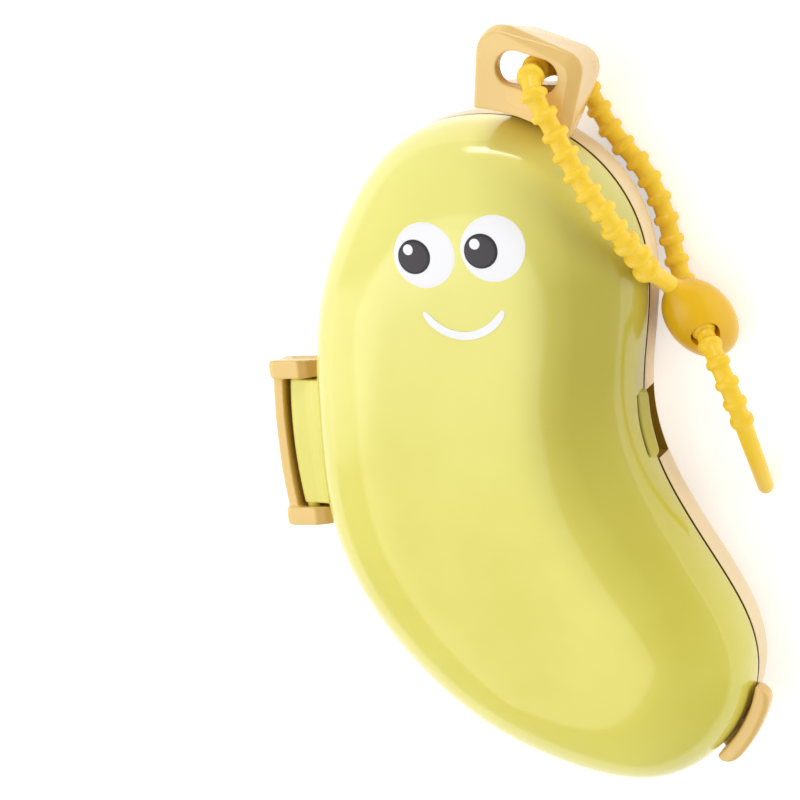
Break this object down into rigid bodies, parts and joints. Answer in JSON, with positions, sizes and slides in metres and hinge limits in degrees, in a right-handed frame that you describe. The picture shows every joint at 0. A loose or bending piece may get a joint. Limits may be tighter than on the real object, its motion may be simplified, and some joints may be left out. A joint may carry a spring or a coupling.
{
  "type": "toothbrush case",
  "caption": "Banana-shaped hinged hard case for a toothbrush, with a slotted stem and a ribbed silicone strap that threads through its own head bead.",
  "frame": {"origin": "on the flat back the case lies on, under the middle of the case", "axes": "+Z out of the lid, +Y along the case towards the stem, +X from the hinge towards the finger notch"},
  "size_m": [0.1213, 0.1835, 0.0412],
  "materials": {
    "base_plastic": "gloss",
    "lid_plastic": "gloss",
    "strap_rubber": "satin"
  },
  "bodies": {
    "base": {"base_shell": "base_plastic", "stem": "base_plastic", "hinge_bracket": "base_plastic", "tail_nub": "base_plastic", "strap": "strap_rubber", "strap_bead": "strap_rubber"},
    "lid": {"lid_shell": "lid_plastic", "hinge_tab": "lid_plastic", "pull_lip": "lid_plastic"}
  },
  "joints": [
    {"name": "lid_hinge", "type": "hinge", "parent": "base", "child": "lid", "pos_m": [-0.0536, -0.0097, 0.016], "axis": [0, -1, 0], "range_deg": [0, 100]}
  ]
}
